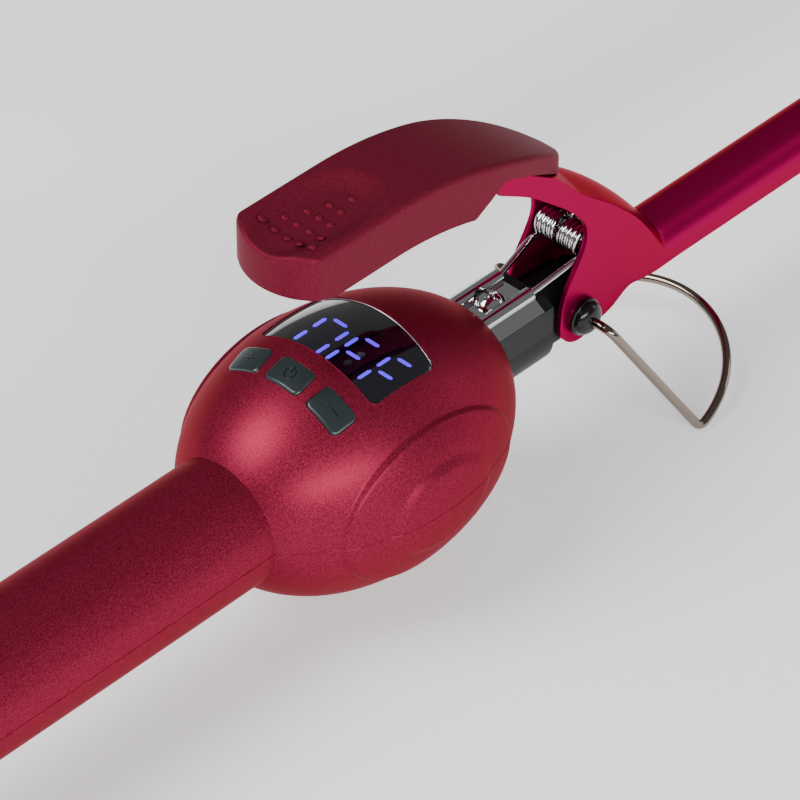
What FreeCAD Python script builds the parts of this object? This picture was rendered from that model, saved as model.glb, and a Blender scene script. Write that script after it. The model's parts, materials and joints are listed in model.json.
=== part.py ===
import FreeCAD, Part
import math
import os
import Sketcher
from types import SimpleNamespace

# Curling iron. +X runs from the cord inlet to the barrel tip, +Z is the thumb lever's side.
# Every piece is drawn about the centre of the round control housing, on the barrel's axis,
# and its Placement then moves it forward so that the origin is the mouth of the cord inlet.

Vector = FreeCAD.Vector
Rotation = FreeCAD.Rotation

driving = {
    # housing
    "handleLength": 150, "handleRadius": 13, "ballRadius": 26, "ballFront": 38, "ballRear": 35,
    "wall": 2.2, "sideStep": 20.9, "sideProud": 0.6, "innerStep": 24.6, "innerProud": 1.1,
    "bossRadius": 3.2, "screwRadius": 1.2, "screwHead": 2.3, "bossSide": 16, "bossForward": 14,
    "rearScrew": -120, "frontScrew": -60, "pocketLevel": -12, "handlePocketLevel": -6,
    # display and keys
    "lensRear": -6.5, "lensFront": 10.9, "lensHalf": 14.5, "lensBow": 80, "lensCorner": 1.5,
    "lensThick": 1.5, "lensSunk": 0.35, "keyRear": -15.8, "keyFront": -10.2, "keyHalf": 4.2,
    "keyPitch": 25.6, "keyProud": 0.35, "keyCorner": 1.2, "keyGap": 0.15, "keyTravel": 0.5,
    "keySkin": 1.6, "keyRim": 0.6, "stemRadius": 1.5,
    "boardRear": -21.5, "boardFront": 16, "boardHalf": 12, "boardLevel": 10, "boardThick": 1.6,
    "carrierRadius": 15, "carrierThick": 1.2, "switchHalf": 2.5, "switchHeight": 2.6,
    "displayHalf": 9.5, "displayTop": 18.4,
    # neck and barrel
    "neckHalf": 7.6, "neckTop": 9.4, "neckRound": 7.8, "neckFront": 49.2, "neckRear": 16,
    "flangeRadius": 12, "flangeRear": 24, "flangeThick": 3,
    "knuckleHalf": 5.85, "knuckleRound": 6.6, "knuckleFront": 65,
    "barrelRadius": 4.5, "barrelWall": 0.5, "barrelRear": 10, "barrelFront": 196, "fitGap": 0.05,
    "heaterRear": 64, "heaterFront": 184, "tipRadius": 5.6, "tipLength": 12,
    # clamp
    "pivotForward": 57.6, "pivotLevel": 1.0, "earOuter": 7.2, "sheet": 1.0, "earRadius": 5.9,
    "spoonGap": 0.8, "spoonLevel": 0.6, "spoonStart": 88, "spoonFront": 190, "spoonEdge": -1.6,
    "hoodBend": 54, "shoulderRadius": 2.4, "capRadius": 3.9, "capHeight": 3.1, "washerThick": 0.3,
    # thumb lever
    "leverTop": 57.3, "leverFlat": 4, "leverArc": 80, "leverHalf": 10.2, "leverRear": -16.8,
    "leverFront": 55.5, "leverThin": 3.7, "leverDeep": 10.5, "leverWall": 2, "leverStep": 25,
    "tongueRear": 3,
    # spring and plate
    "plateFlat": 5.4, "wingWidth": 2.6, "wingSlope": 34, "plateFront": 46.3, "plateRear": 33,
    "plateThick": 0.8, "ridgeWall": 0.9, "legSide": 4, "legLift": 0.4, "springWire": 0.6,
    "coilRadius": 2.6, "coilForward": 60.3, "coilLevel": 16, "bridgeReach": 5.2, "bridgeRise": 1.2,
    "plateScrew": 39.8, "plateScrewHead": 3.0, "plateScrewRise": 2.0,
    # stand
    "wireRadius": 0.95, "standReach": 14.6, "standRadius": 23.3, "standCentre": 75.1,
    "standLevel": -28.3, "standTilt": 21.8, "standRun": 1.8, "elbowRadius": 2.6, "cornerRadius": 1.8,
    # rear end
    "capThick": 5, "plugLength": 6, "glandReach": 18, "glandNeck": 5, "glandBore": 3.1,
    "glandFlange": 7.5, "glandEnd": 4.4, "ringRadius": 4.7,
}


def text_of(size):
    return size.text if isinstance(size, Size) else repr(float(size))


class Size:
    """A number together with the spreadsheet expression that gives it."""

    def __init__(self, value, text):
        self.value = value
        self.text = text

    def __float__(self):
        return float(self.value)

    def __neg__(self):
        return Size(-self.value, "(-1 * %s)" % self.text)

    def __add__(self, other):
        return Size(self.value + float(other), "(%s + %s)" % (self.text, text_of(other)))

    def __radd__(self, other):
        return self + other

    def __sub__(self, other):
        return Size(self.value - float(other), "(%s - %s)" % (self.text, text_of(other)))

    def __rsub__(self, other):
        return -self + other

    def __mul__(self, other):
        return Size(self.value * float(other), "(%s * %s)" % (self.text, text_of(other)))

    def __rmul__(self, other):
        return self * other

    def __truediv__(self, other):
        return Size(self.value / float(other), "(%s / %s)" % (self.text, text_of(other)))


def root(size):
    return Size(math.sqrt(size.value), "sqrt(%s)" % size.text)


def fill_sheet(document):
    """Write the driving sizes to a spreadsheet and return them by name."""
    sheet = document.addObject("Spreadsheet::Sheet", "Sizes")
    for row, (alias, value) in enumerate(driving.items(), 1):
        sheet.set("A%d" % row, alias)
        sheet.set("B%d" % row, str(value))
        sheet.setAlias("B%d" % row, alias)
    document.recompute()
    return SimpleNamespace(**{name: Size(value, "Sizes." + name) for name, value in driving.items()})


document = FreeCAD.newDocument("CurlingIron")
d = fill_sheet(document)
d.spoonRadius = d.barrelRadius + d.sheet + d.spoonGap
ball_centre = d.handleLength + d.glandReach
sub_parts = {}

upright = Rotation()
along_x = Rotation(Vector(0, 1, 0), 90)
along_y = Rotation(Vector(1, 0, 0), -90)
along_minus_y = Rotation(Vector(1, 0, 0), 90)


def bind(item, name, size):
    item.setExpression(name, text_of(size))


def place(item, x=0, y=0, z=0, turn=upright):
    item.Placement = FreeCAD.Placement(Vector(float(x), float(y), float(z)), turn)
    for axis, size in (("x", x), ("y", y), ("z", z)):
        bind(item, "Placement.Base." + axis, size)
    return item


def sub_part(item, label):
    """Name a finished piece and move it from the housing's centre to the iron's own frame."""
    item.Label = label
    turn = item.Placement.Rotation
    place(item, ball_centre, 0, 0, turn)
    sub_parts[label] = item
    return item


def cylinder(radius, length, x=0, y=0, z=0, turn=upright, angle=360):
    item = document.addObject("Part::Cylinder", "Cylinder")
    bind(item, "Radius", radius)
    bind(item, "Height", length)
    bind(item, "Angle", angle)
    return place(item, x, y, z, turn)


def cone(rear, front, length, x=0, y=0, z=0, turn=upright):
    item = document.addObject("Part::Cone", "Cone")
    bind(item, "Radius1", rear)
    bind(item, "Radius2", front)
    bind(item, "Height", length)
    return place(item, x, y, z, turn)


def block(x, y, z, high_x, high_y, high_z, turn=upright):
    """A box between its low and high corners, which are given before it is turned."""
    item = document.addObject("Part::Box", "Block")
    bind(item, "Length", high_x - x)
    bind(item, "Width", high_y - y)
    bind(item, "Height", high_z - z)
    return place(item, x, y, z, turn)


def torus(ring, tube, x=0, y=0, z=0, turn=upright):
    item = document.addObject("Part::Torus", "Torus")
    bind(item, "Radius1", ring)
    bind(item, "Radius2", tube)
    return place(item, x, y, z, turn)


def ball_zone(radius, reach, low, high):
    """Half of an ellipsoid about X, between two latitudes."""
    item = document.addObject("Part::Ellipsoid", "Ellipsoid")
    bind(item, "Radius1", reach)
    bind(item, "Radius2", radius)
    bind(item, "Radius3", radius)
    item.Angle1 = low
    item.Angle2 = high
    return place(item, turn=along_x)


def fuse(*items):
    item = document.addObject("Part::MultiFuse", "Joined")
    item.Shapes = list(items)
    return item


def common(*items):
    item = document.addObject("Part::MultiCommon", "Shared")
    item.Shapes = list(items)
    return item


def cut(base, *tools):
    item = document.addObject("Part::Cut", "Cut")
    item.Base = base
    item.Tool = tools[0] if len(tools) == 1 else fuse(*tools)
    return item


def compound(*items):
    item = document.addObject("Part::Compound", "Group")
    item.Links = list(items)
    return item


def turned(item, angle):
    """The piece turned about the barrel's axis."""
    place(item, turn=Rotation(Vector(1, 0, 0), float(angle)))
    bind(item, "Placement.Rotation.Angle", angle)
    return item


def round_edges(item, radius, chosen):
    """Fillet the edges that the test picks, by their end points."""
    document.recompute()
    found = [
        (number, float(radius), float(radius))
        for number, edge in enumerate(item.Shape.Edges, 1)
        if chosen(edge.Vertexes[0].Point, edge.Vertexes[-1].Point)
    ]
    rounded = document.addObject("Part::Fillet", "Rounded")
    rounded.Base = item
    rounded.Edges = found
    return rounded


def upright_edge(start, end):
    return abs(start.x - end.x) < 1e-6 and abs(start.y - end.y) < 1e-6


def revolved(label, points):
    """A body turned about X from a closed outline of (x, radius) points."""
    body = document.addObject("PartDesign::Body", label)
    sketch = body.newObject("Sketcher::SketchObject", label + "_outline")
    plane = [item for item in body.Origin.OriginFeatures if item.Role == "XZ_Plane"][0]
    sketch.AttachmentSupport = [(plane, "")]
    sketch.MapMode = "FlatFace"
    draw_outline(sketch, points)
    turn = body.newObject("PartDesign::Revolution", label + "_turned")
    turn.Profile = sketch
    turn.ReferenceAxis = (sketch, ["H_Axis"])
    turn.Angle = 360
    return body


def draw_outline(sketch, points):
    """Closed straight-sided outline whose corners are tied to the sheet."""
    count = len(points)
    for number, (across, up) in enumerate(points):
        next_across, next_up = points[(number + 1) % count]
        start = Vector(float(across), float(up), 0)
        end = Vector(float(next_across), float(next_up), 0)
        sketch.addGeometry(Part.LineSegment(start, end), False)
    for number in range(count):
        sketch.addConstraint(Sketcher.Constraint("Coincident", number, 2, (number + 1) % count, 1))
    for number, corner in enumerate(points):
        for kind, axis, size in (("DistanceX", -2, corner[0]), ("DistanceY", -1, corner[1])):
            if not isinstance(size, Size) and size == 0:
                sketch.addConstraint(Sketcher.Constraint("PointOnObject", number, 1, axis))
                continue
            index = sketch.addConstraint(Sketcher.Constraint(kind, -1, 1, number, 1, float(size)))
            sketch.setExpression("Constraints[%d]" % index, text_of(size))


# ---------------------------------------------------------------- shapes that several pieces share

balls = {}


def ball(offset):
    """The round housing's form, its surface moved outwards by offset."""
    key = text_of(offset)
    if key not in balls:
        front = ball_zone(d.ballRadius + offset, d.ballFront + offset, 0, 90)
        rear = ball_zone(d.ballRadius + offset, d.ballRear + offset, -90, 0)
        balls[key] = fuse(front, rear)
    return balls[key]


def far_sides(face):
    """Blocks that hold everything further than face from the middle plane, on both sides."""
    reach = d.ballFront + d.ballRear
    far = block(-reach, face, -reach, reach, reach, reach)
    near = block(-reach, -reach, -reach, reach, -face, reach)
    return fuse(far, near)


def neck_form(gap, rear):
    """The neck's section, a round underside with a square top, grown by gap."""
    length = d.neckFront - rear
    underside = cylinder(d.neckRound + gap, length, rear, 0, 0, along_x)
    top = block(rear, -d.neckHalf - gap, 0, d.neckFront, d.neckHalf + gap, d.neckTop + gap)
    return fuse(underside, top)


def key_prism(gap, low, high):
    """A key's outline carried from one distance to another, grown by gap."""
    prism = block(d.keyRear - gap, -d.keyHalf - gap, low, d.keyFront + gap, d.keyHalf + gap, high)
    return round_edges(prism, d.keyCorner + gap, upright_edge)


def lens_prism(gap):
    """The display window's outline as a tall prism, with a bowed front edge."""
    low = d.boardLevel
    high = d.ballRadius + 5
    front = d.lensFront + gap
    prism = block(d.lensRear - gap, -d.lensHalf - gap, low, front, d.lensHalf + gap, high)
    bow = cylinder(d.lensBow, high - low, front - d.lensBow, 0, low)
    return round_edges(common(prism, bow), d.lensCorner + gap, upright_edge)


screw_places = (
    (d.rearScrew, 0, d.handlePocketLevel),
    (d.frontScrew, 0, d.handlePocketLevel),
    (d.bossForward, d.bossSide, d.pocketLevel),
    (d.bossForward, -d.bossSide, d.pocketLevel),
)
screw_depth = 6
post_side = 8.2
post_inset = 2.2
post_radius = 1.6
board_screw_radius = 0.8
board_posts = [
    (x, side * post_side)
    for x in (d.boardFront - post_inset, d.boardRear + post_inset)
    for side in (-1, 1)
]


# ---------------------------------------------------------------- housing

def housing_solids():
    """The housing's outer form and its hollow."""
    handle = cylinder(d.handleRadius, d.handleLength, -d.handleLength, 0, 0, along_x)
    outer_pad = common(ball(d.sideProud), far_sides(d.sideStep))
    inner_pad = common(ball(d.innerProud), far_sides(d.innerStep))
    outer = fuse(ball(0), handle, outer_pad, inner_pad)
    bore = cylinder(d.handleRadius - d.wall, d.handleLength + 1, -d.handleLength - 1, 0, 0, along_x)
    hollow = fuse(ball(-d.wall), bore)
    return outer, hollow


def housing():
    outer, hollow = housing_solids()
    shell = cut(outer, hollow, neck_form(d.fitGap, d.neckRear))
    reach = d.handleLength + 1
    upper_half = block(-reach, -reach, 0, reach, reach, reach)
    lower_half = block(-reach, -reach, -reach, reach, reach, 0)
    bosses = [cylinder(d.bossRadius, d.ballRadius * 2, x, y, -d.ballRadius) for x, y, seat in screw_places]
    boss_solids = common(fuse(*bosses), hollow)
    post_foot = d.boardLevel + d.boardThick
    posts = [cylinder(post_radius, d.ballRadius, x, y, post_foot) for x, y in board_posts]
    post_solids = common(fuse(*posts), hollow)

    pilots = [cylinder(d.screwRadius, screw_depth, x, y, 0) for x, y, seat in screw_places]
    post_pilots = [cylinder(board_screw_radius, 5, x, y, d.boardLevel) for x, y in board_posts]
    opening = key_prism(d.keyGap, d.ballRadius / 2, d.ballRadius + 5)
    openings = [turned(compound(opening), side * d.keyPitch) for side in (-1, 0, 1)]
    upper = cut(
        fuse(common(fuse(shell, boss_solids), upper_half), post_solids),
        plate_form(), lens_prism(d.fitGap), *openings, *pilots, *post_pilots,
    )
    sub_part(upper, "housing_upper")

    clear = [cylinder(d.screwRadius + 0.2, -seat + 1, x, y, seat) for x, y, seat in screw_places]
    pocket = d.screwHead + 0.3
    pockets = [cylinder(pocket, d.ballRadius, x, y, seat - d.ballRadius) for x, y, seat in screw_places]
    lower = cut(common(fuse(shell, boss_solids), lower_half), *clear, *pockets)
    sub_part(lower, "housing_lower")


def cross_recess(x, y, low, high, reach):
    """Two crossed slots for a screwdriver."""
    half = 0.3
    return (
        block(x - reach, y - half, low, x + reach, y + half, high),
        block(x - half, y - reach, low, x + half, y + reach, high),
    )


def housing_screws():
    """Screws driven from below, with heads that taper towards their outer face."""
    head_height = 1.6
    screws = []
    for x, y, seat in screw_places:
        shank = cylinder(d.screwRadius, -seat + screw_depth - 0.5, x, y, seat)
        foot = seat - head_height
        head = cone(d.screwHead - 0.5, d.screwHead, head_height, x, y, foot)
        recess = cross_recess(x, y, foot, foot + head_height / 2, 1.6)
        screws.append(cut(fuse(shank, head), *recess))
    sub_part(compound(*screws), "housing_screws")


# ---------------------------------------------------------------- display and keys

def display():
    window = common(lens_prism(0), cut(ball(-d.lensSunk), ball(-d.lensSunk - d.lensThick)))
    sub_part(window, "display_lens")
    low = d.boardLevel + d.boardThick
    module = block(d.lensRear + 0.5, -d.displayHalf, low, d.lensFront - 1, d.displayHalf, d.displayTop)
    sub_part(round_edges(module, 0.8, upright_edge), "display_module")


def key(label, angle):
    """One push key: a crowned top, lips before and behind that stop it under the shell, and a stem."""
    crown = ball(d.keyProud)
    under_shell = -d.wall - 0.1
    pad = cut(crown, ball(under_shell - d.keySkin))
    top = common(key_prism(0, d.ballRadius / 2, d.ballRadius + 5), pad)
    lip = d.keyRim + d.keyGap
    lips = block(d.keyRear - lip, -d.keyHalf, d.ballRadius / 2, d.keyFront + lip, d.keyHalf, d.ballRadius)
    rim = common(lips, cut(ball(under_shell), ball(under_shell - 1)))
    middle = (d.keyRear + d.keyFront) / 2
    stem_foot = d.carrierRadius + d.switchHeight + 0.1 + d.keyTravel + 0.2
    rod_up = cylinder(d.stemRadius, d.ballRadius, middle, 0, stem_foot)
    stem = common(rod_up, ball(under_shell - d.keySkin / 2))
    whole = fuse(top, rim, stem)
    sub_part(turned(whole, angle), label)


def switches():
    middle = (d.keyRear + d.keyFront) / 2
    rear = middle - d.switchHalf - 1
    front = middle + d.switchHalf + 1
    ring = cylinder(d.carrierRadius, front - rear, rear, 0, 0, along_x)
    hollow = cylinder(d.carrierRadius - d.carrierThick, front - rear + 2, rear - 1, 0, 0, along_x)
    keep = block(rear - 1, -d.boardHalf, d.boardLevel + d.boardThick, front + 1, d.boardHalf, d.ballRadius)
    sub_part(common(cut(ring, hollow), keep), "switch_carrier")
    half = d.switchHalf
    cell_top = d.carrierRadius + d.switchHeight
    cells = []
    for side in (-1, 0, 1):
        body = block(middle - half, -half, d.carrierRadius - 0.3, middle + half, half, cell_top - 0.8)
        plunger = cylinder(1.4, 1.0, middle, 0, cell_top - 1)
        cell = cut(fuse(body, plunger), ring)
        cells.append(turned(cell, side * d.keyPitch))
    sub_part(compound(*cells), "tact_switches")


def circuit_board():
    low = d.boardLevel
    board = block(d.boardRear, -d.boardHalf, low, d.boardFront, d.boardHalf, low + d.boardThick)
    board = round_edges(board, 2, upright_edge)
    holes = [cylinder(0.9, d.boardThick + 2, x, y, low - 1) for x, y in board_posts]
    sub_part(cut(board, *holes), "circuit_board")
    screws = []
    for x, y in board_posts:
        shank = cylinder(board_screw_radius, d.boardThick + 3, x, y, low)
        screws.append(fuse(shank, cylinder(1.7, 1.1, x, y, low - 1.1)))
    sub_part(compound(*screws), "board_screws")
    chip = block(-16, -4, low - 1.8, -8, 4, low)
    relay = block(-2, -7, low - 6, 8, 2, low)
    can_height = 4.5
    can = cylinder(2.5, can_height, 9.5, 5, low - can_height)
    sub_part(compound(chip, relay, can), "board_components")


# ---------------------------------------------------------------- neck, barrel and heater

def neck():
    length = d.neckFront - d.neckRear
    underside = cylinder(d.neckRound, length, d.neckRear, 0, 0, along_x)
    top = block(d.neckRear, -d.neckHalf, 0, d.neckFront, d.neckHalf, d.neckTop)
    shoulders = [wing(side, length + 2, 6, 6, d.neckRear - 1) for side in (-1, 1)]
    flange = cylinder(d.flangeRadius, d.flangeThick, d.flangeRear, 0, 0, along_x)
    knuckle_length = d.knuckleFront - d.neckFront + 1
    knuckle = common(
        cylinder(d.knuckleRound, knuckle_length, d.neckFront - 1, 0, 0, along_x),
        block(d.neckFront - 1, -d.knuckleHalf, -d.neckTop, d.knuckleFront, d.knuckleHalf, d.neckTop),
    )
    bore = cylinder(d.barrelRadius + d.fitGap, length * 3, d.neckRear - 1, 0, 0, along_x)
    pin_length = d.knuckleHalf * 4
    pins = cylinder(d.shoulderRadius, pin_length, d.pivotForward, -pin_length / 2, d.pivotLevel, along_y)
    plate_pilot = cylinder(d.screwRadius, 4.2, d.plateScrew, 0, d.neckTop - 4.2)
    body = fuse(underside, cut(top, *shoulders), flange, knuckle)
    sub_part(cut(body, bore, pins, plate_pilot), "neck_block")


def barrel():
    inner = d.barrelRadius - d.barrelWall
    tube = revolved("barrel_tube", [
        (d.barrelRear, inner), (d.barrelFront, inner), (d.barrelFront, d.barrelRadius),
        (d.barrelRear, d.barrelRadius),
    ])
    sub_part(tube, "barrel_tube")
    collar = revolved("barrel_collar", [
        (d.neckRear - 3, d.barrelRadius), (d.neckRear, d.barrelRadius), (d.neckRear, d.barrelRadius + 2.5),
        (d.neckRear - 3, d.barrelRadius + 2.5),
    ])
    sub_part(collar, "barrel_collar")
    core = inner - 0.15
    heater = revolved("heater_core", [
        (d.heaterRear, 0), (d.heaterFront, 0), (d.heaterFront, core), (d.heaterRear, core),
    ])
    sub_part(heater, "heater_core")
    leads = [cylinder(0.6, d.heaterRear + 2, -2, side * 1.6, 0, along_x) for side in (-1, 1)]
    sub_part(compound(*leads), "heater_leads")
    fuse_body = cylinder(1.3, 9, d.heaterRear - 14, 0, 1.9, along_x)
    sub_part(compound(fuse_body), "thermal_fuse")
    plug = inner - d.fitGap
    end = d.barrelFront + d.tipLength
    tip = revolved("cool_tip", [
        (d.barrelFront - 8, 0), (end, 0), (end, d.tipRadius * 0.45), (end - 1.2, d.tipRadius * 0.78),
        (end - 3, d.tipRadius), (d.barrelFront + 0.6, d.tipRadius), (d.barrelFront, d.tipRadius - 0.6),
        (d.barrelFront, plug), (d.barrelFront - 8, plug),
    ])
    sub_part(tip, "cool_tip")


# ---------------------------------------------------------------- pivot, plate and spring

def pivots():
    """Dome-headed shoulder screws: the clamp's ears turn on them and the stand's ends turn in them."""
    screws = []
    washers = []
    inner = d.barrelRadius + 0.3
    seat = d.earOuter + d.fitGap + d.washerThick
    rim = d.capHeight * 0.35
    bore = d.wireRadius + d.fitGap
    dome = []
    for step in range(5):
        angle = math.radians(15 * step)
        dome.append((seat + rim + (d.capHeight - rim) * math.sin(angle), d.capRadius * math.cos(angle)))
    outline = [(inner, 0), (inner, d.shoulderRadius), (seat, d.shoulderRadius), (seat, d.capRadius)] + dome
    outline += [(seat + d.capHeight, bore), (inner + 0.8, bore), (inner + 0.8, 0)]
    for side, turn in ((1, along_y), (-1, along_minus_y)):
        screw = revolved("pivot_screw", outline)
        screws.append(place(screw, d.pivotForward, 0, d.pivotLevel, Rotation(Vector(0, 0, 1), 90 * side)))
        face = side * (d.earOuter + d.fitGap)
        ring = cylinder(d.capRadius - 0.4, d.washerThick, d.pivotForward, face, d.pivotLevel, turn)
        hole = cylinder(d.shoulderRadius, d.washerThick, d.pivotForward, face, d.pivotLevel, turn)
        washers.append(cut(ring, hole))
    sub_part(compound(*screws), "pivot_screws")
    sub_part(compound(*washers), "pivot_washers")


def wing(side, length, width, thickness, start):
    """A strip along X that slopes down and outwards from the edge of the neck's flat top."""
    lap = 0.6
    strip = block(0, 0, 0, length, width + lap, thickness)
    slope = math.radians(float(d.wingSlope))
    turn = Rotation(Vector(1, 0, 0), -float(d.wingSlope))
    edge = d.plateFlat - lap * math.cos(slope)
    level = d.neckTop + lap * math.sin(slope)
    if side > 0:
        return place(strip, start, edge, level, turn)
    return place(strip, start + length, -edge, level, Rotation(Vector(0, 0, 1), 180) * turn)


leg_level = d.neckTop + d.plateThick + d.legLift


def leg_channels(radius, start, end):
    """Rods along the two spring legs."""
    return [
        cylinder(radius, end - start, start, side * d.legSide, leg_level, along_x)
        for side in (-1, 1)
    ]


def plate_form():
    """The saddle plate before its hole and channels are cut: a sheet, two ridges and two wings."""
    low = d.neckTop
    length = d.plateFront - d.plateRear
    sheet = block(d.plateRear, -d.plateFlat, low, d.plateFront, d.plateFlat, low + d.plateThick)
    wings = [wing(side, length, d.wingWidth, d.plateThick, d.plateRear) for side in (-1, 1)]
    ridge_radius = d.springWire + d.ridgeWall
    ridges = fuse(*leg_channels(ridge_radius, d.plateRear, d.plateFront))
    above = block(d.plateRear, -d.neckRound, low, d.plateFront, d.neckRound, leg_level + ridge_radius + 1)
    seat = cylinder(d.plateScrewHead + 0.15, d.plateScrewRise * 2, d.plateScrew, 0, low + d.plateThick)
    return fuse(sheet, cut(common(ridges, above), seat), *wings)


def spring_plate():
    """Saddle plate that presses the two spring legs onto the neck, and the screw that holds it."""
    channels = leg_channels(d.springWire + d.fitGap, d.plateRear - 2, d.plateFront + 2)
    hole = cylinder(d.screwRadius + 0.2, 4, d.plateScrew, 0, d.neckTop - 1)
    sub_part(cut(plate_form(), hole, *channels), "spring_plate")

    top = d.neckTop + d.plateThick
    bite = 3.8
    shank = cylinder(d.screwRadius, d.plateThick + bite, d.plateScrew, 0, d.neckTop - bite)
    dome_radius = d.plateScrewHead + 0.4
    dome = document.addObject("Part::Sphere", "Dome")
    bind(dome, "Radius", dome_radius)
    place(dome, d.plateScrew, 0, top + d.plateScrewRise - dome_radius)
    pan = common(cylinder(d.plateScrewHead, d.plateScrewRise * 2, d.plateScrew, 0, top), dome)
    recess = cross_recess(d.plateScrew, 0, top + d.plateScrewRise / 2, top + d.plateScrewRise + 1, 1.7)
    sub_part(cut(fuse(shank, pan), *recess), "plate_screw")


def torsion_spring():
    """Double torsion spring: two coils, a leg from each under the plate, and a bridge into the hood."""
    pitch = d.springWire * 1.9
    inner_turn = d.legSide - pitch * 2
    pieces = []
    for side in (-1, 1):
        for turn_number in range(4):
            y = side * (inner_turn + pitch * turn_number)
            pieces.append(torus(d.coilRadius, d.springWire, d.coilForward, y, d.coilLevel, along_y))
    shapes = []
    document.recompute()
    spring = document.addObject("Part::Feature", "Spring")
    wire = float(d.springWire)
    for side in (-1, 1):
        y = side * float(d.legSide)
        start = Vector(float(d.plateRear) + 3, y, float(leg_level))
        bend = Vector(float(d.plateFront) + 0.5, y, float(leg_level))
        touch = Vector(float(d.coilForward), y, float(d.coilLevel - d.coilRadius))
        shapes.append(rod(start, bend, wire))
        shapes.append(rod(bend, touch, wire))
        shapes.append(Part.makeSphere(wire, bend))
        inner = side * float(inner_turn)
        top = Vector(float(d.coilForward), inner, float(d.coilLevel + d.coilRadius))
        hook = top + Vector(float(d.bridgeReach), 0, float(d.bridgeRise))
        shapes.append(rod(top, hook, wire))
        shapes.append(Part.makeSphere(wire, hook))
    across = Vector(hook.x, -hook.y, hook.z)
    shapes.append(rod(across, hook, wire))
    whole = pieces[0].Shape.multiFuse([item.Shape for item in pieces[1:]] + shapes)
    spring.Shape = whole.removeSplitter()
    for item in pieces:
        document.removeObject(item.Name)
    sub_part(spring, "torsion_spring")


def rod(start, end, radius):
    line = end.sub(start)
    return Part.makeCylinder(radius, line.Length, start, line)


# ---------------------------------------------------------------- clamp

lever_centre = d.leverTop - d.leverArc


def seat_height(x):
    """Underside of the thumb lever's thin part, an arc about the same centre as its top."""
    radius = float(d.leverArc - d.leverThin) - 0.05
    run = max(x - float(d.leverFlat), 0)
    return float(lever_centre) + math.sqrt(radius * radius - run * run)


def ease(x, start, end):
    """A smooth step from 0 at start to 1 at end."""
    share = min(max((x - start) / (end - start), 0), 1)
    return share * share * (3 - 2 * share)


def hood_section(x):
    """Half width, crest height and side height of the pressed hood at one station."""
    bend = float(d.hoodBend)
    spoon_start = float(d.spoonStart)
    spoon_radius = float(d.spoonRadius)
    spoon_top = float(d.spoonLevel) + spoon_radius
    share = max((x - bend) / (spoon_start - bend), 0)
    fall = 1 - share - 0.45 * share * share * (1 - share)
    crest = seat_height(x) if x < bend else spoon_top + fall * (seat_height(bend) - spoon_top)
    half = float(d.earOuter) - ease(x, spoon_start - 20, spoon_start) * (float(d.earOuter) - spoon_radius)
    drop = 0.8 + 2.2 * ease(x, bend - 8, bend + 6)
    drop += (spoon_radius - 3) * ease(x, spoon_start - 16, spoon_start)
    return half, crest, crest - drop


def hood_wire(x, half, crest, side, low):
    left = Vector(x, -half, side)
    right = Vector(x, half, side)
    arc = Part.Arc(left, Vector(x, 0, crest), right).toShape()
    foot_left = Vector(x, -half, low)
    foot_right = Vector(x, half, low)
    return Part.Wire([
        Part.makeLine(foot_left, left), arc,
        Part.makeLine(right, foot_right), Part.makeLine(foot_right, foot_left),
    ])


def clamp_profile():
    """Side view of the clamp: tongue, arch, ear and spoon edge, as a face in the XZ plane."""
    pivot = Vector(float(d.pivotForward), 0, float(d.pivotLevel))
    radius = float(d.earRadius)

    def on_ear(degrees):
        angle = math.radians(degrees)
        return pivot + Vector(radius * math.cos(angle), 0, radius * math.sin(angle))

    arch = [
        Vector(34, 0, 42.4), Vector(48, 0, 32.8), Vector(55.9, 0, 25.4), Vector(58.6, 0, 19.4),
        Vector(56.8, 0, 14.2), Vector(53.2, 0, 8.4), on_ear(178),
    ]
    curve = Part.BSplineCurve()
    curve.interpolate(arch)
    edge_level = float(d.spoonEdge)
    rear = Vector(float(d.tongueRear) - 1, 0, 51.5)
    toe = on_ear(-52)
    throat = Vector(71.5, 0, -0.2)
    lip = Vector(80, 0, edge_level)
    end = Vector(float(d.spoonStart), 0, edge_level)
    front = Part.BSplineCurve()
    front.interpolate([throat, Vector(75.5, 0, -0.9), lip])
    edges = [
        Part.makeLine(rear, arch[0]),
        curve.toShape(),
        Part.Arc(on_ear(178), on_ear(245), toe).toShape(),
        Part.makeLine(toe, throat),
        front.toShape(),
        Part.makeLine(lip, end),
        Part.makeLine(end, Vector(end.x, 0, 90)),
        Part.makeLine(Vector(end.x, 0, 90), Vector(rear.x, 0, 90)),
        Part.makeLine(Vector(rear.x, 0, 90), rear),
    ]
    return Part.Face(Part.Wire(edges))


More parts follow.
